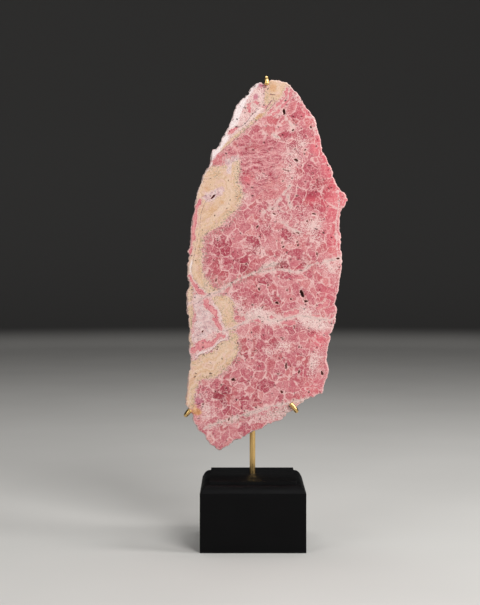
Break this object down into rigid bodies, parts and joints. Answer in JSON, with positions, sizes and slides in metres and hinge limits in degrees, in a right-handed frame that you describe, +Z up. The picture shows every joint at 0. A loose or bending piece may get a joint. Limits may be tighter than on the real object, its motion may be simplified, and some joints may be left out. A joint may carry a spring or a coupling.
{
  "type": "mineral slice on a display stand",
  "caption": "Tall polished rhodochrosite slice held upright by hooked brass rods on a vertical rod, set in a square black wooden plinth with a moulded top edge.",
  "frame": {"origin": "centre of the plinth's underside", "axes": "+Z up through the plinth, post and slice; the slice's polished face looks along -Y; +X is to the right of a viewer facing that polished face"},
  "size_m": [0.1818, 0.1144, 0.5185],
  "materials": {
    "stone": "gloss",
    "wood": "satin",
    "brass": "satin"
  },
  "bodies": {
    "root": {"rhodochrosite_slice": "stone", "plinth": "wood", "post": "brass", "top_arm": "brass", "left_arm": "brass", "right_arm": "brass"}
  },
  "joints": []
}
